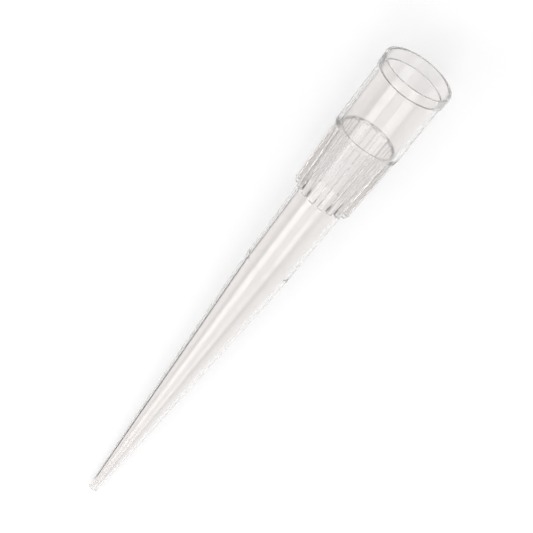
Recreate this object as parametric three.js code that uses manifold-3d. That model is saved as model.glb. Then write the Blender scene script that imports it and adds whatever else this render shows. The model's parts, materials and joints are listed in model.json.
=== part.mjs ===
// A single-use pipette tip: one hollow moulded piece, open at its point and at its mouth.
// Millimetres, +Z up. The tip lies as it comes to rest, on its point and on two
// neighbouring ribs of its collar, with the mouth towards +X.
//
// It is turned about its own axis first, with the end of the point at height 0:
//
//   point    steep taper up from the orifice
//   cone     long taper
//   bead     hair-line ring where the cone ends
//   neck     plain, nearly straight tube
//   ribs     straight fins round a thinner core
//   cup      plain wall that takes the end cone of a pipette
//   lip      short proud ring round the mouth
import * as THREE from 'three';
import { mergeVertices } from 'three/addons/utils/BufferGeometryUtils.js';
import Module from 'manifold-3d';

const wasm = await Module();
wasm.setup();

// ---- driving dimensions --------------------------------------------------

// lengths along the axis, from the point up
const POINT_LENGTH = 9.4;
const CONE_LENGTH = 19.4;
const BEAD_LENGTH = 0.5;
const NECK_LENGTH = 8.7;
const RIB_LENGTH = 7.0;
const CUP_LENGTH = 6.9;
const LIP_LENGTH = 1.3;

// outer radii
const ORIFICE_OUTER_RADIUS = 0.43;
const POINT_TOP_RADIUS = 1.1;
const CONE_TOP_RADIUS = 2.3;
const NECK_LOW_RADIUS = 2.28;
const NECK_TOP_RADIUS = 2.49;
const CORE_TOP_RADIUS = 3.02;
const CUP_LOW_RADIUS = 3.41;
const CUP_TOP_RADIUS = 3.47;

// how far small steps stand out, and their roundings
const BEAD_PROUD = 0.035;
const LIP_PROUD = 0.13;
const LIP_TOP_ROUNDING = 0.1;
const LIP_UNDER_ROUNDING = 0.12;
const SHOULDER_ROUNDING = 0.14;
const ORIFICE_ROUNDING = 0.05;

// walls
const ORIFICE_WALL = 0.17;
const POINT_TOP_WALL = 0.3;
const CONE_TOP_WALL = 0.4;
const NECK_WALL = 0.4;
const CUP_LOW_WALL = 0.43;
const CUP_TOP_WALL = 0.37;

// the narrow floor of the cup, which steps the bore in from the cup to the neck
const FLOOR_WALL = 0.3;
const FLOOR_DROP = 0.06;

// the shallow recess of the mouth, down to a small shelf on top of the cup's bore
const RECESS_DEPTH = 1.14;
const SHELF_WIDTH = 0.2;
const SHELF_DIP = 0.05;
const RECESS_FLARE = 0.02;

// ribs
const RIB_COUNT = 18;
const RIB_END_RADIUS = 3.01;
const RIB_TOP_INSET = 0.085;
const RIB_END_WIDTH = 0.5;
const RIB_TOP_WIDTH = 0.42;
const RIB_END_ROUNDING = 0.08;

// fineness of the facets
const SEGMENTS_PER_RIB = 4;
const ARC_STEPS = 3;

// ---- heights and radii worked out from them -------------------------------

const CONE_TOP = POINT_LENGTH + CONE_LENGTH;
const BEAD_TOP = CONE_TOP + BEAD_LENGTH;
const RIB_END = BEAD_TOP + NECK_LENGTH;
const SHOULDER = RIB_END + RIB_LENGTH;
const CUP_TOP = SHOULDER + CUP_LENGTH;
const RIM = CUP_TOP + LIP_LENGTH;

const LIP_RADIUS = CUP_TOP_RADIUS + LIP_PROUD;
const RIB_TOP_RADIUS = CUP_LOW_RADIUS - RIB_TOP_INSET;
const CUP_BORE_LOW = CUP_LOW_RADIUS - CUP_LOW_WALL;
const CUP_BORE_TOP = CUP_TOP_RADIUS - CUP_TOP_WALL;
const RECESS_RADIUS = CUP_BORE_TOP + SHELF_WIDTH;

// ---- helpers ----------------------------------------------------------------

const at = (radius, height) => new THREE.Vector2(radius, height);

// Points of an arc from one angle to another, in degrees, with both ends.
function arc(radius, height, bend, from, to) {
  return Array.from({ length: ARC_STEPS + 1 }, (_, step) => {
    const angle = THREE.MathUtils.degToRad(THREE.MathUtils.lerp(from, to, step / ARC_STEPS));
    return at(radius + bend * Math.cos(angle), height + bend * Math.sin(angle));
  });
}

function solidFrom(geometry) {
  geometry.deleteAttribute('normal');
  geometry.deleteAttribute('uv');
  const merged = mergeVertices(geometry);
  return new wasm.Manifold(new wasm.Mesh({
    numProp: 3,
    vertProperties: new Float32Array(merged.attributes.position.array),
    triVerts: new Uint32Array(merged.index.array),
  }));
}

function geometryFrom(solid) {
  const mesh = solid.getMesh();
  const geometry = new THREE.BufferGeometry();
  geometry.setAttribute('position', new THREE.BufferAttribute(mesh.vertProperties, 3));
  geometry.setIndex(new THREE.BufferAttribute(mesh.triVerts, 1));
  geometry.computeVertexNormals();
  return geometry;
}

// ---- the hollow turned body --------------------------------------------------

function beadProfile() {
  const middle = CONE_TOP + BEAD_LENGTH / 2;
  return arc(0, 0, 1, -90, 90).map(
    (point) => at(CONE_TOP_RADIUS + BEAD_PROUD * point.x, middle + BEAD_LENGTH / 2 * point.y),
  );
}

function outerProfile() {
  const orificeEdge = ORIFICE_OUTER_RADIUS - ORIFICE_ROUNDING;
  const shoulderEdge = CUP_LOW_RADIUS - SHOULDER_ROUNDING;
  return [
    ...arc(orificeEdge, ORIFICE_ROUNDING, ORIFICE_ROUNDING, -90, 0),
    at(POINT_TOP_RADIUS, POINT_LENGTH),
    ...beadProfile(),
    at(NECK_LOW_RADIUS, BEAD_TOP),
    at(NECK_TOP_RADIUS, RIB_END),
    at(CORE_TOP_RADIUS, SHOULDER),
    ...arc(shoulderEdge, SHOULDER + SHOULDER_ROUNDING, SHOULDER_ROUNDING, -90, 0),
    at(CUP_TOP_RADIUS, CUP_TOP),
    ...arc(LIP_RADIUS - LIP_UNDER_ROUNDING, CUP_TOP + LIP_UNDER_ROUNDING, LIP_UNDER_ROUNDING, -90, 0),
    ...arc(LIP_RADIUS - LIP_TOP_ROUNDING, RIM - LIP_TOP_ROUNDING, LIP_TOP_ROUNDING, 0, 90),
  ];
}

function boreProfile() {
  return [
    at(RECESS_RADIUS + RECESS_FLARE, RIM),
    at(RECESS_RADIUS, RIM - RECESS_DEPTH - SHELF_DIP),
    at(CUP_BORE_TOP, RIM - RECESS_DEPTH),
    at(CUP_BORE_LOW, SHOULDER + FLOOR_WALL + FLOOR_DROP),
    at(CORE_TOP_RADIUS - NECK_WALL, SHOULDER + FLOOR_WALL),
    at(NECK_TOP_RADIUS - NECK_WALL, RIB_END),
    at(CONE_TOP_RADIUS - CONE_TOP_WALL, CONE_TOP),
    at(POINT_TOP_RADIUS - POINT_TOP_WALL, POINT_LENGTH),
    at(ORIFICE_OUTER_RADIUS - ORIFICE_WALL, 0),
  ];
}

function turnedBody() {
  const profile = [...outerProfile(), ...boreProfile()];
  profile.push(profile[0].clone());
  const geometry = new THREE.LatheGeometry(profile, RIB_COUNT * SEGMENTS_PER_RIB);
  geometry.rotateX(Math.PI / 2);
  return solidFrom(geometry);
}

// ---- the ribs ----------------------------------------------------------------

// One rib on the +X side, with its root inside the core's wall and its top in the shoulder.
function ribSolid() {
  const outline = new THREE.Shape([
    at(NECK_TOP_RADIUS - NECK_WALL / 2, RIB_END),
    ...arc(RIB_END_RADIUS - RIB_END_ROUNDING, RIB_END + RIB_END_ROUNDING, RIB_END_ROUNDING, -90, 0),
    at(RIB_TOP_RADIUS, SHOULDER + SHOULDER_ROUNDING),
    at(CORE_TOP_RADIUS - NECK_WALL / 2, SHOULDER + SHOULDER_ROUNDING),
  ]);
  const geometry = new THREE.ExtrudeGeometry(outline, { depth: 1, bevelEnabled: false });
  geometry.translate(0, 0, -0.5);
  const position = geometry.attributes.position;
  for (let index = 0; index < position.count; index += 1) {
    const rise = (position.getY(index) - RIB_END) / RIB_LENGTH;
    const width = THREE.MathUtils.lerp(RIB_END_WIDTH, RIB_TOP_WIDTH, rise);
    position.setZ(index, position.getZ(index) * width);
  }
  geometry.rotateX(Math.PI / 2);
  return solidFrom(geometry);
}

// The ring of ribs leaves a gap, not a rib, straight down when the tip lies at rest.
function collarRibs() {
  const rib = ribSolid();
  const pitch = 360 / RIB_COUNT;
  return Array.from({ length: RIB_COUNT }, (_, index) => rib.rotate([0, 0, (index + 0.5) * pitch]));
}

// ---- lying at rest --------------------------------------------------------------

// Laid with its +X side down, the tip settles on the point's edge and on whatever stands
// out most above the point, seen from that edge.
function restAngle(geometry) {
  const position = geometry.attributes.position;
  let slope = 0;
  for (let index = 0; index < position.count; index += 1) {
    const height = position.getZ(index);
    if (height > POINT_LENGTH) {
      const reach = position.getX(index) - ORIFICE_OUTER_RADIUS;
      slope = Math.max(slope, reach / (height - ORIFICE_ROUNDING));
    }
  }
  return Math.atan(slope);
}

const plastic = new THREE.MeshStandardMaterial({
  color: 0xe6e1df,
  roughness: 0.12,
  metalness: 0,
  transparent: true,
  opacity: 0.45,
});

const geometry = geometryFrom(wasm.Manifold.union([turnedBody(), ...collarRibs()]));
const tip = new THREE.Mesh(geometry, plastic);
tip.name = 'pipette_tip';

const lying = new THREE.Group();
lying.rotation.y = Math.PI / 2 - restAngle(geometry);
lying.add(tip);

const model = new THREE.Group();
model.add(lying);

const box = new THREE.Box3().setFromObject(model, true);
const middle = box.getCenter(new THREE.Vector3());
lying.position.set(-middle.x, -middle.y, -box.min.z);

export default model;
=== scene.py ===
"""A clear pipette tip, lying on its point and its ribbed collar on a pale floor.

The tip is one moulding: a hollow turned body, made by revolving one closed outline, and a
ring of ribs round its collar. Sizes are in millimetres in the node tree, and the finished
tip is laid on the floor in metres.
"""

import json
import math

import bpy
from mathutils import Matrix, Vector


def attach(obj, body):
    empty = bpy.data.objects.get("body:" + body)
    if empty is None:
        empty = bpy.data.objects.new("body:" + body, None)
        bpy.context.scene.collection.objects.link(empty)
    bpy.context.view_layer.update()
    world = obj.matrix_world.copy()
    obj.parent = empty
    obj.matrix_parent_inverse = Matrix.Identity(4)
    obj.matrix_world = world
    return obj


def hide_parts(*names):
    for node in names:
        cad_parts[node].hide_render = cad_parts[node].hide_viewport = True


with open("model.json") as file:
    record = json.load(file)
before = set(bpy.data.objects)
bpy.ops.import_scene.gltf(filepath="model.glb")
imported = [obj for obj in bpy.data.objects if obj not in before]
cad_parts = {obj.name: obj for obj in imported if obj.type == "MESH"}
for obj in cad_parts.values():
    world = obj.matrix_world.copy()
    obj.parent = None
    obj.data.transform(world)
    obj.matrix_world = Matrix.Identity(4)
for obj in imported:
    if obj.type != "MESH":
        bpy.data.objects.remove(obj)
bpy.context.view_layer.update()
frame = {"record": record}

MM = 0.001

# ---- sizes of the tip, in millimetres ---------------------------------------------------

TIP_SIZES = {
    # lengths along the axis, from the point up
    "Point length": 9.4,
    "Cone length": 19.4,
    "Bead length": 0.5,
    "Neck length": 8.7,
    "Rib length": 7.0,
    "Cup length": 6.9,
    "Lip length": 1.3,
    # outer radii
    "Orifice radius": 0.43,
    "Point top radius": 1.1,
    "Cone top radius": 2.3,
    "Neck low radius": 2.28,
    "Neck top radius": 2.49,
    "Core top radius": 3.02,
    "Cup low radius": 3.41,
    "Cup top radius": 3.47,
    "Bead proud": 0.015,
    "Lip proud": 0.13,
    # walls
    "Orifice wall": 0.17,
    "Point top wall": 0.3,
    "Cone top wall": 0.4,
    "Neck wall": 0.4,
    "Cup low wall": 0.43,
    "Cup top wall": 0.37,
    "Floor wall": 0.3,
    "Floor drop": 0.06,
    # the recess of the mouth, down to its shelf
    "Recess depth": 1.14,
    "Shelf width": 0.2,
    "Shelf dip": 0.05,
    "Recess flare": 0.02,
    # ribs
    "Rib count": 18,
    "Rib end radius": 3.01,
    "Rib top inset": 0.085,
    "Rib end width": 0.5,
    "Rib top width": 0.42,
    "Rib end rounding": 0.08,
    "Rib edge rounding": 0.02,
    "Rib overlap": 0.2,
    # roundings of the body's corners, outside
    "Orifice rounding": 0.05,
    "Bead blend": 0.4,
    "Neck top blend": 2.0,
    "Core top rounding": 0.05,
    "Shoulder rounding": 0.1,
    "Lip root rounding": 0.03,
    "Lip low rounding": 0.04,
    "Lip top rounding": 0.03,
    # and inside
    "Mouth rounding": 0.15,
    "Shelf root rounding": 0.02,
    "Shelf edge rounding": 0.04,
    "Cup floor rounding": 0.12,
    "Bore top rounding": 0.06,
    "Bore orifice rounding": 0.03,
    # where cone and bore only change their slope a little
    "Slope blend": 4.0,
    # how far the axis rises from the floor as the tip lies, in radians; the frame's own
    # angle takes this one's place below
    "Resting angle": 0.0675,
    # fineness
    "Segments round": 216,
    "Segments of a rounding": 8,
    "Steps along a rib": 24,
}

# ---- a small kit for writing node trees -------------------------------------------------


class Size:
    """A number inside a node tree: sums and products of sizes become Math nodes."""

    def __init__(self, tree, socket):
        self.tree = tree
        self.socket = socket

    def math(self, operation, *others):
        node = self.tree.nodes.new("ShaderNodeMath")
        node.operation = operation
        for slot, value in zip(node.inputs, (self, *others)):
            plug(self.tree, value, slot)
        return Size(self.tree, node.outputs[0])

    def __add__(self, other):
        return self.math("ADD", other)

    def __sub__(self, other):
        return self.math("SUBTRACT", other)

    def __mul__(self, other):
        return self.math("MULTIPLY", other)

    def __truediv__(self, other):
        return self.math("DIVIDE", other)


def plug(tree, value, slot):
    """Links a size or a socket to a slot, or writes a plain value there."""
    if isinstance(value, Size):
        value = value.socket
    if isinstance(value, bpy.types.NodeSocket):
        tree.links.new(value, slot)
    else:
        slot.default_value = value


def add_node(tree, kind, inputs=None, **settings):
    """Adds a node with its settings, and plugs its inputs by name or number."""
    node = tree.nodes.new(kind)
    for name, value in settings.items():
        setattr(node, name, value)
    for name, value in (inputs or {}).items():
        plug(tree, value, node.inputs[name])
    return node


def point_at(tree, x, y, z):
    """A place made of three sizes."""
    return add_node(tree, "ShaderNodeCombineXYZ", {0: x, 1: y, 2: z}).outputs[0]


def by_index(tree, kind, values):
    """The value whose number is the point's own index."""
    switch = add_node(tree, "GeometryNodeIndexSwitch", data_type=kind)
    while len(switch.index_switch_items) < len(values):
        switch.index_switch_items.new()
    index = add_node(tree, "GeometryNodeInputIndex")
    plug(tree, index.outputs[0], switch.inputs["Index"])
    for number, value in enumerate(values):
        plug(tree, value, switch.inputs[number + 1])
    return switch.outputs[0]


def rounded_outline(tree, corners, steps):
    """A closed outline through (x, y, rounding) corners."""
    places = [point_at(tree, x, y, 0.0) for x, y, _ in corners]
    points = add_node(tree, "GeometryNodePoints", {
        "Count": len(corners),
        "Position": by_index(tree, "VECTOR", places),
    })
    curve = add_node(tree, "GeometryNodePointsToCurves", {"Points": points.outputs[0]})
    closed = add_node(tree, "GeometryNodeSetSplineCyclic", {
        "Geometry": curve.outputs[0],
        "Cyclic": True,
    })
    rounded = add_node(tree, "GeometryNodeFilletCurve", {
        "Curve": closed.outputs[0],
        "Count": steps,
        "Radius": by_index(tree, "FLOAT", [rounding for _, _, rounding in corners]),
        "Limit Radius": True,
    }, mode="POLY")
    return rounded.outputs[0]


# ---- the tip's node tree ----------------------------------------------------------------


def heights(size):
    """Where each stretch of the tip ends, measured up from the point.

    The sizes are plain numbers or sizes inside a node tree.
    """
    cone_low = size["Point length"]
    cone_top = cone_low + size["Cone length"]
    bead_top = cone_top + size["Bead length"]
    rib_end = bead_top + size["Neck length"]
    shoulder = rib_end + size["Rib length"]
    cup_top = shoulder + size["Cup length"]
    rim = cup_top + size["Lip length"]
    return cone_low, cone_top, bead_top, rib_end, shoulder, cup_top, rim


def turned_body(tree, size):
    """The hollow body: one closed outline, revolved round the Z axis.

    Each corner of the outline is a radius, a height and a rounding. They run up the outside
    and down the bore.
    """
    cone_low, cone_top, bead_top, rib_end, shoulder, cup_top, rim = heights(size)
    bead_middle = cone_top + size["Bead length"] * 0.5
    lip = size["Cup top radius"] + size["Lip proud"]
    cup_bore_top = size["Cup top radius"] - size["Cup top wall"]
    cup_bore_low = size["Cup low radius"] - size["Cup low wall"]
    recess = cup_bore_top + size["Shelf width"]
    shelf = rim - size["Recess depth"]
    floor_low = shoulder + size["Floor wall"]
    bend = size["Slope blend"]
    bead_bend = size["Bead blend"]
    corners = [
        (size["Orifice radius"], 0.0, size["Orifice rounding"]),
        (size["Point top radius"], cone_low, bend),
        (size["Cone top radius"], cone_top, bead_bend),
        (size["Cone top radius"] + size["Bead proud"], bead_middle, bead_bend),
        (size["Neck low radius"], bead_top, bead_bend),
        (size["Neck top radius"], rib_end, size["Neck top blend"]),
        (size["Core top radius"], shoulder, size["Core top rounding"]),
        (size["Cup low radius"], shoulder, size["Shoulder rounding"]),
        (size["Cup top radius"], cup_top, size["Lip root rounding"]),
        (lip, cup_top, size["Lip low rounding"]),
        (lip, rim, size["Lip top rounding"]),
        (recess + size["Recess flare"], rim, size["Mouth rounding"]),
        (recess, shelf - size["Shelf dip"], size["Shelf root rounding"]),
        (cup_bore_top, shelf, size["Shelf edge rounding"]),
        (cup_bore_low, floor_low + size["Floor drop"], size["Cup floor rounding"]),
        (size["Core top radius"] - size["Neck wall"], floor_low, size["Bore top rounding"]),
        (size["Neck top radius"] - size["Neck wall"], rib_end, bend),
        (size["Cone top radius"] - size["Cone top wall"], cone_top, bend),
        (size["Point top radius"] - size["Point top wall"], cone_low, bend),
        (size["Orifice radius"] - size["Orifice wall"], 0.0, size["Bore orifice rounding"]),
    ]
    # The outline's own zero lies on the circle that it is swept along.
    hub = 1.0
    outline = rounded_outline(
        tree, [(x - hub, y, rounding) for x, y, rounding in corners],
        size["Segments of a rounding"],
    )
    circle = add_node(tree, "GeometryNodeCurvePrimitiveCircle", {
        "Resolution": size["Segments round"],
        "Radius": hub,
    })
    body = add_node(tree, "GeometryNodeCurveToMesh", {
        "Curve": circle.outputs[0],
        "Profile Curve": outline,
    })
    upright = add_node(tree, "GeometryNodeTransform", {
        "Geometry": body.outputs[0],
        "Rotation": (math.pi, 0.0, 0.0),
    })
    return upright.outputs[0]


def one_rib(tree, size):
    """One rib on the +X side, its root in the core's wall and its top in the shoulder."""
    rib_end = heights(size)[3]
    root = size["Neck top radius"] - size["Neck wall"] * 0.5
    top_root = size["Core top radius"] - size["Neck wall"] * 0.5
    end_reach = size["Rib end radius"]
    top_reach = size["Cup low radius"] - size["Rib top inset"]
    half = size["Rib end width"] * 0.5
    section = rounded_outline(tree, [
        (root, half * -1.0, 0.0),
        (end_reach, half * -1.0, size["Rib edge rounding"]),
        (end_reach, half, size["Rib edge rounding"]),
        (root, half, 0.0),
    ], size["Segments of a rounding"])
    spine = add_node(tree, "GeometryNodeCurvePrimitiveLine", {"End": (0.0, 0.0, 1.0)})
    steps = add_node(tree, "GeometryNodeResampleCurve", {
        "Curve": spine.outputs[0],
        "Count": size["Steps along a rib"],
    })
    bar = add_node(tree, "GeometryNodeCurveToMesh", {
        "Curve": steps.outputs[0],
        "Profile Curve": section,
        "Fill Caps": True,
    })
    place = add_node(tree, "ShaderNodeSeparateXYZ", {
        0: add_node(tree, "GeometryNodeInputPosition").outputs[0],
    })
    x, y, along = (Size(tree, socket) for socket in place.outputs)
    # The steps lie closer together near the rib's end, where its outer corner is rounded.
    crowding = 3.0
    above_end = along.math("POWER", crowding) * (size["Rib length"] + size["Rib overlap"])
    rise = above_end / size["Rib length"]
    rounding = size["Rib end rounding"]
    below_corner = rounding - above_end.math("MINIMUM", rounding)
    cut_back = rounding - (rounding * rounding - below_corner * below_corner).math("SQRT")
    reach = end_reach + (top_reach - end_reach) * rise - cut_back
    inner = root + (top_root - root) * rise
    taper = (size["Rib top width"] / size["Rib end width"] - 1.0) * rise + 1.0
    shaped = add_node(tree, "GeometryNodeSetPosition", {
        "Geometry": bar.outputs[0],
        "Position": point_at(
            tree,
            inner + (x - root) * (reach - inner) / (end_reach - root),
            y * taper,
            rib_end + above_end,
        ),
    })
    return shaped.outputs[0]


def ring_of_ribs(tree, size):
    """The ribs all round the collar, with a gap and not a rib on the +X side."""
    index = Size(tree, add_node(tree, "GeometryNodeInputIndex").outputs[0])
    turn = (index + 0.5) * (2 * math.pi) / size["Rib count"]
    points = add_node(tree, "GeometryNodePoints", {"Count": size["Rib count"]})
    ribs = add_node(tree, "GeometryNodeInstanceOnPoints", {
        "Points": points.outputs[0],
        "Instance": one_rib(tree, size),
        "Rotation": point_at(tree, 0.0, 0.0, turn),
    })
    return add_node(tree, "GeometryNodeRealizeInstances", {0: ribs.outputs[0]}).outputs[0]


def laid_down(tree, tip, resting_angle):
    """Turns the tip's mouth towards +X and stands its box's foot on the origin, in metres."""
    turned = add_node(tree, "GeometryNodeTransform", {
        "Geometry": tip,
        "Rotation": point_at(tree, 0.0, resting_angle * -1.0 + math.pi / 2, 0.0),
        "Scale": (MM, MM, MM),
    }).outputs[0]
    box = add_node(tree, "GeometryNodeBoundBox", {"Geometry": turned})
    low, high = (
        [Size(tree, side) for side in add_node(tree, "ShaderNodeSeparateXYZ", {0: corner}).outputs]
        for corner in (box.outputs["Min"], box.outputs["Max"])
    )
    return add_node(tree, "GeometryNodeTransform", {
        "Geometry": turned,
        "Translation": point_at(
            tree, (low[0] + high[0]) * -0.5, (low[1] + high[1]) * -0.5, low[2] * -1.0,
        ),
    }).outputs[0]


def tip_tree(plastic):
    """The node tree that makes the whole tip, with every size as an input."""
    tree = bpy.data.node_groups.new("Pipette tip", "GeometryNodeTree")
    tree.interface.new_socket("Tip", in_out="OUTPUT", socket_type="NodeSocketGeometry")
    for name, value in TIP_SIZES.items():
        kind = "NodeSocketInt" if isinstance(value, int) else "NodeSocketFloat"
        tree.interface.new_socket(name, in_out="INPUT", socket_type=kind)
    inputs = tree.nodes.new("NodeGroupInput")
    size = {name: Size(tree, inputs.outputs[name]) for name in TIP_SIZES}
    tip = add_node(tree, "GeometryNodeMeshBoolean", {
        "Mesh 2": turned_body(tree, size),
    }, operation="UNION", solver="MANIFOLD")
    tree.links.new(ring_of_ribs(tree, size), tip.inputs["Mesh 2"])
    lying = laid_down(tree, tip.outputs[0], size["Resting angle"])
    smooth = add_node(tree, "GeometryNodeSetShadeSmooth", {"Geometry": lying})
    corner = Size(tree, add_node(tree, "GeometryNodeInputMeshEdgeAngle").outputs[0])
    sharp = math.radians(35.0)
    creased = add_node(tree, "GeometryNodeSetShadeSmooth", {
        "Geometry": smooth.outputs[0],
        "Selection": corner.math("GREATER_THAN", sharp),
        "Shade Smooth": False,
    }, domain="EDGE")
    finished = add_node(tree, "GeometryNodeSetMaterial", {
        "Geometry": creased.outputs[0],
        "Material": plastic,
    })
    tree.links.new(finished.outputs[0], tree.nodes.new("NodeGroupOutput").inputs[0])
    return tree


def made_by_tree(name, tree, sizes):
    """A plain mesh object with what the tree makes from these sizes."""
    maker = bpy.data.objects.new(name + "_maker", bpy.data.meshes.new(name + "_maker"))
    bpy.context.scene.collection.objects.link(maker)
    modifier = maker.modifiers.new(name, "NODES")
    modifier.node_group = tree
    for socket in tree.interface.items_tree:
        if socket.in_out == "INPUT":
            modifier[socket.identifier] = sizes[socket.name]
    # Long walls keep their own true slope right up to their rounded ends.
    maker.modifiers.new("true_walls", "WEIGHTED_NORMAL").keep_sharp = True
    evaluated = maker.evaluated_get(bpy.context.evaluated_depsgraph_get())
    mesh = bpy.data.meshes.new_from_object(evaluated)
    maker.modifiers.clear()
    bpy.data.objects.remove(maker)
    mesh.name = name
    piece = bpy.data.objects.new(name, mesh)
    bpy.context.scene.collection.objects.link(piece)
    return piece


# ---- finishes ---------------------------------------------------------------------------

NATURAL_TINT = (0.996, 0.977, 0.967, 1.0)
REFRACTION = 1.49
CLARITY = 0.95
# roughness: of the polished wall, and what haze, flow lines and the matt surface add
POLISHED = 0.035
HAZE_ROUGHNESS = 0.05
FLOW_ROUGHNESS = 0.04
MATT_ROUGHNESS = 0.18
LIP_MATTNESS = 0.4
# millimetres, measured down from the rim
MATT_LIP = 1.0
# noise, in repeats a metre: flow lines are drawn out along the tip
HAZE_SCALE = 420.0
FLOW_SCALE = (120.0, 1500.0, 1500.0)
RIPPLE_STRENGTH = 0.04
RIPPLE_DEPTH = 0.01 * MM


def step_up(value, edge, softness):
    """0 below the edge and 1 above it."""
    return ((value - edge) / softness + 0.5).math("MAXIMUM", 0.0).math("MINIMUM", 1.0)


def clear_polypropylene(size, rim_middle, axis):
    """Clear natural polypropylene: glossy and faintly hazy, with a matt collar and lip."""
    material = bpy.data.materials.new("Clear polypropylene")
    material.use_nodes = True
    tree = material.node_tree
    _, _, _, rib_end, shoulder, _, rim_height = heights(size)
    coordinates = tree.nodes.new("ShaderNodeTexCoord")
    place = add_node(tree, "ShaderNodeSeparateXYZ", {0: coordinates.outputs["Object"]})
    x = Size(tree, place.outputs["X"])
    y = Size(tree, place.outputs["Y"])
    z = Size(tree, place.outputs["Z"])

    height = ((x - rim_middle.x) * axis.x + (z - rim_middle.z) * axis.z) / MM + rim_height
    above_axis = (z - rim_middle.z) * axis.x - (x - rim_middle.x) * axis.z
    radius = (above_axis * above_axis + y * y).math("SQRT") / MM

    slope = (size["Core top radius"] - size["Neck top radius"]) / size["Rib length"]
    core = (height - rib_end) * slope + size["Neck top radius"]
    below_ribs = 0.05
    above_shoulder = 0.2
    clear_of_core = 0.06
    on_ribs = (
        step_up(height, rib_end - below_ribs, softness=0.05)
        * step_up(height * -1.0, -shoulder - above_shoulder, softness=0.1)
        * step_up(radius - core, clear_of_core, softness=0.06)
    )
    on_lip = step_up(height, rim_height - MATT_LIP, softness=0.1)
    matt = on_ribs.math("MAXIMUM", on_lip * LIP_MATTNESS)

    cloud = add_node(tree, "ShaderNodeTexNoise", {
        "Vector": coordinates.outputs["Object"],
        "Scale": HAZE_SCALE,
        "Detail": 3.0,
    })
    drawn_out = add_node(tree, "ShaderNodeVectorMath", {
        0: coordinates.outputs["Object"],
        1: FLOW_SCALE,
    }, operation="MULTIPLY")
    flow = add_node(tree, "ShaderNodeTexNoise", {
        "Vector": drawn_out.outputs[0],
        "Scale": 1.0,
        "Detail": 2.0,
    })
    haze = Size(tree, cloud.outputs["Fac"])
    streak = Size(tree, flow.outputs["Fac"])
    roughness = haze * HAZE_ROUGHNESS + streak * FLOW_ROUGHNESS + POLISHED + matt * MATT_ROUGHNESS
    ripple = add_node(tree, "ShaderNodeBump", {
        "Height": haze * 0.6 + streak * 0.4,
        "Strength": RIPPLE_STRENGTH,
        "Distance": RIPPLE_DEPTH,
    })

    shader = tree.nodes["Principled BSDF"]
    shader.inputs["Base Color"].default_value = NATURAL_TINT
    plug(tree, roughness, shader.inputs["Roughness"])
    plug(tree, ripple.outputs["Normal"], shader.inputs["Normal"])
    shader.inputs["IOR"].default_value = REFRACTION
    shader.inputs["Transmission Weight"].default_value = CLARITY
    return material


def white_floor(paleness=0.52, glow_strength=0.6):
    """A pale floor that shows white, and keeps the tip's shadow."""
    material = bpy.data.materials.new("White floor")
    material.use_nodes = True
    tree = material.node_tree
    tree.nodes.clear()
    paint = add_node(tree, "ShaderNodeBsdfDiffuse", {
        "Color": (paleness, paleness, paleness, 1.0),
    })
    path = tree.nodes.new("ShaderNodeLightPath")
    seen = (
        Size(tree, path.outputs["Is Camera Ray"])
        + Size(tree, path.outputs["Is Glossy Ray"])
        + Size(tree, path.outputs["Is Transmission Ray"])
    ).math("MINIMUM", 1.0)
    glow = add_node(tree, "ShaderNodeEmission", {"Strength": seen * glow_strength})
    both = add_node(tree, "ShaderNodeAddShader", {0: paint.outputs[0], 1: glow.outputs[0]})
    output = tree.nodes.new("ShaderNodeOutputMaterial")
    tree.links.new(both.outputs[0], output.inputs["Surface"])
    return material


# ---- the tip ----------------------------------------------------------------------------

# how far above the tip's axis the rim's mount stands, in millimetres
MOUNT_ABOVE_AXIS = 3.375

rim_mount = next(mount for mount in frame["record"]["mounts"] if mount["name"] == "mouth_rim")
axis = Vector(rim_mount["axis"]).normalized()
TIP_SIZES["Resting angle"] = math.atan2(axis.z, axis.x)

lift = Vector((-axis.z, 0.0, axis.x))
rim_middle = Vector(rim_mount["pos_m"]) - lift * MOUNT_ABOVE_AXIS * MM
plastic = clear_polypropylene(TIP_SIZES, rim_middle, axis)
tip = made_by_tree("pipette_tip_body", tip_tree(plastic), TIP_SIZES)
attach(tip, "root")
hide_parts("pipette_tip")

# ---- floor and light --------------------------------------------------------------------

# keeps the floor just below the tip, and the painted shadow strip just above the floor
CLEARANCE = 0.02 * MM


def floor_and_backdrop(reach, cove, height):
    """A round floor whose edge curves up into a low wall."""
    sides = 96
    steps = 10
    outline = [(reach * 0.5, 0.0)]
    for step in range(steps + 1):
        turn = math.pi * 0.5 * step / steps
        outline.append((reach - cove + cove * math.sin(turn), cove - cove * math.cos(turn)))
    outline.append((reach, height))
    points = [(0.0, 0.0, 0.0)]
    for distance, up in outline:
        for side in range(sides):
            angle = math.tau * side / sides
            points.append((distance * math.cos(angle), distance * math.sin(angle), up))
    faces = []
    for side in range(sides):
        after = (side + 1) % sides
        faces.append((0, 1 + side, 1 + after))
        for ring in range(len(outline) - 1):
            low = 1 + ring * sides
            high = low + sides
            faces.append((low + side, high + side, high + after, low + after))
    mesh = bpy.data.meshes.new("floor")
    mesh.from_pydata(points, [], faces)
    mesh.shade_smooth()
    mesh.materials.append(white_floor())
    studio = bpy.data.objects.new("floor", mesh)
    studio.location.z = -CLEARANCE
    bpy.context.scene.collection.objects.link(studio)


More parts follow.
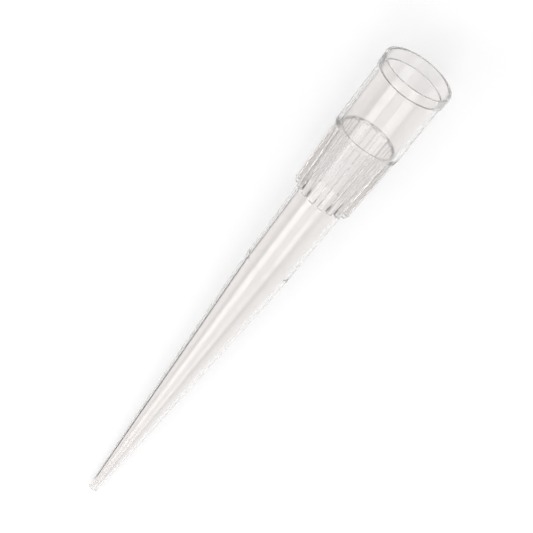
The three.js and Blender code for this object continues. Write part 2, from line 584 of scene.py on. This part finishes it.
def softbox(name, along, around, length, width, brightness):
    """A soft area lamp, placed and sized by angles seen from the tip.

    along tilts it from straight overhead towards the point's side, around turns it to the
    right of the tip, and length and width are the angles it fills in those directions.
    """
    away = 0.6
    tilt = math.radians(along)
    turn = math.radians(around)
    towards = Vector((
        -math.sin(tilt),
        -math.cos(tilt) * math.sin(turn),
        math.cos(tilt) * math.cos(turn),
    ))
    side = Vector((0.0, -math.cos(turn), -math.sin(turn)))
    lamp = bpy.data.lights.new(name, "AREA")
    lamp.shape = "RECTANGLE"
    lamp.size = 2.0 * away * math.tan(math.radians(width) * 0.5) * math.cos(tilt)
    lamp.size_y = 2.0 * away * math.tan(math.radians(length) * 0.5)
    lamp.energy = math.pi * lamp.size * lamp.size_y * brightness
    holder = bpy.data.objects.new(name, lamp)
    facing = Matrix((side, towards.cross(side), towards)).transposed().to_4x4()
    holder.matrix_world = Matrix.Translation(towards * away) @ facing
    bpy.context.scene.collection.objects.link(holder)


def room_light(dim, front, right):
    """A dim room, lighter in front of the tip's mouth and to its right."""
    world = bpy.data.worlds.new("Soft room")
    world.use_nodes = True
    tree = world.node_tree
    direction = tree.nodes.new("ShaderNodeTexCoord")
    place = add_node(tree, "ShaderNodeSeparateXYZ", {0: direction.outputs["Generated"]})
    ahead = Size(tree, place.outputs["X"]).math("MAXIMUM", 0.0)
    beside = (Size(tree, place.outputs["Y"]) * -1.0).math("MAXIMUM", 0.0)
    strength = ahead * (front - dim) + beside * (right - dim) + dim
    plug(tree, strength, tree.nodes["Background"].inputs["Strength"])
    tree.nodes["Background"].inputs["Color"].default_value = (1.0, 1.0, 1.0, 1.0)
    bpy.context.scene.world = world


def painted_shadow_strip(reach, at_point, at_mouth):
    """A painted shadow: a near-black strip on the floor beside the tip, where the tip's own shadow
    would fall, seen only in the plastic's wall.

    It reaches that far both ways along X. at_point and at_mouth say how far to the left its
    two edges lie at its ends, as multiples of the axis's height above the floor there.
    """
    point_height = TIP_SIZES["Orifice radius"] * MM
    mouth_height = point_height + 2.0 * reach * math.tan(TIP_SIZES["Resting angle"])
    mesh = bpy.data.meshes.new("Painted shadow strip")
    mesh.from_pydata([
        (-reach, point_height * at_point[0], CLEARANCE),
        (reach, mouth_height * at_mouth[0], CLEARANCE),
        (reach, mouth_height * at_mouth[1], CLEARANCE),
        (-reach, point_height * at_point[1], CLEARANCE),
    ], [], [(0, 1, 2, 3)])
    paint = bpy.data.materials.new("Shadow paint")
    paint.use_nodes = True
    shader = paint.node_tree.nodes["Principled BSDF"]
    # painted shadow: near-black, standing in for the tip's shadow on the floor
    shader.inputs["Base Color"].default_value = (0.02, 0.02, 0.02, 1.0)
    mesh.materials.append(paint)
    strip = bpy.data.objects.new("Painted shadow strip", mesh)
    bpy.context.scene.collection.objects.link(strip)
    strip.visible_camera = False
    strip.visible_diffuse = False
    strip.visible_shadow = False


floor_and_backdrop(reach=1.0, cove=0.15, height=0.32)
room_light(dim=0.33, front=1.0, right=0.75)
softbox("right_softbox", along=30.0, around=26.0, length=34.0, width=22.0, brightness=2.5)
softbox("right_wing", along=24.0, around=44.5, length=9.0, width=15.0, brightness=2.2)
softbox("left_softbox", along=35.0, around=-34.0, length=20.0, width=32.0, brightness=2.7)
softbox("top_strip", along=30.0, around=0.0, length=34.0, width=29.0, brightness=1.35)
# a painted shadow left of the tip, where its shadow from a light on its right would fall, drawing
# the dark line along its left wall
painted_shadow_strip(26.0 * MM, at_point=(1.95, 6.2), at_mouth=(2.35, 3.05))

# ---- camera -----------------------------------------------------------------------------

SENSOR_WIDTH = 36.0
CAMERA_ABOVE_AXIS = math.radians(25.5)
CAMERA_ROLL = math.radians(51.79)
# metres, and how much of the scene is seen from side to side at that distance
CAMERA_DISTANCE = 0.5454
VIEW_WIDTH = 0.04845
# millimetres up the axis from the point, and to the side of it
LOOK_AT = 28.946
LOOK_ASIDE = 0.043


def long_lens_camera():
    """A long lens that looks down along the tip, from its mouth's side."""
    rim_height = heights(TIP_SIZES)[-1]
    target = rim_middle - axis * (rim_height - LOOK_AT) * MM
    towards = lift * math.cos(CAMERA_ABOVE_AXIS) + axis * math.sin(CAMERA_ABOVE_AXIS)
    along = (axis - axis.dot(towards) * towards).normalized()
    across = towards.cross(along)
    target += across * LOOK_ASIDE * MM
    right = along * math.cos(CAMERA_ROLL) - across * math.sin(CAMERA_ROLL)
    up = along * math.sin(CAMERA_ROLL) + across * math.cos(CAMERA_ROLL)
    turn = Matrix((right, up, towards)).transposed().to_4x4()
    camera = bpy.data.objects.new("camera", bpy.data.cameras.new("camera"))
    camera.data.sensor_width = SENSOR_WIDTH
    camera.data.lens = SENSOR_WIDTH * CAMERA_DISTANCE / VIEW_WIDTH
    camera.data.clip_start = 0.01
    camera.matrix_world = Matrix.Translation(target + towards * CAMERA_DISTANCE) @ turn
    bpy.context.scene.collection.objects.link(camera)
    bpy.context.scene.camera = camera


long_lens_camera()

# Light goes through many clear walls before it leaves the tip.
bpy.context.scene.cycles.max_bounces = 32
bpy.context.scene.cycles.transmission_bounces = 32
bpy.context.scene.cycles.glossy_bounces = 16
bpy.context.scene.view_settings.view_transform = "Standard"
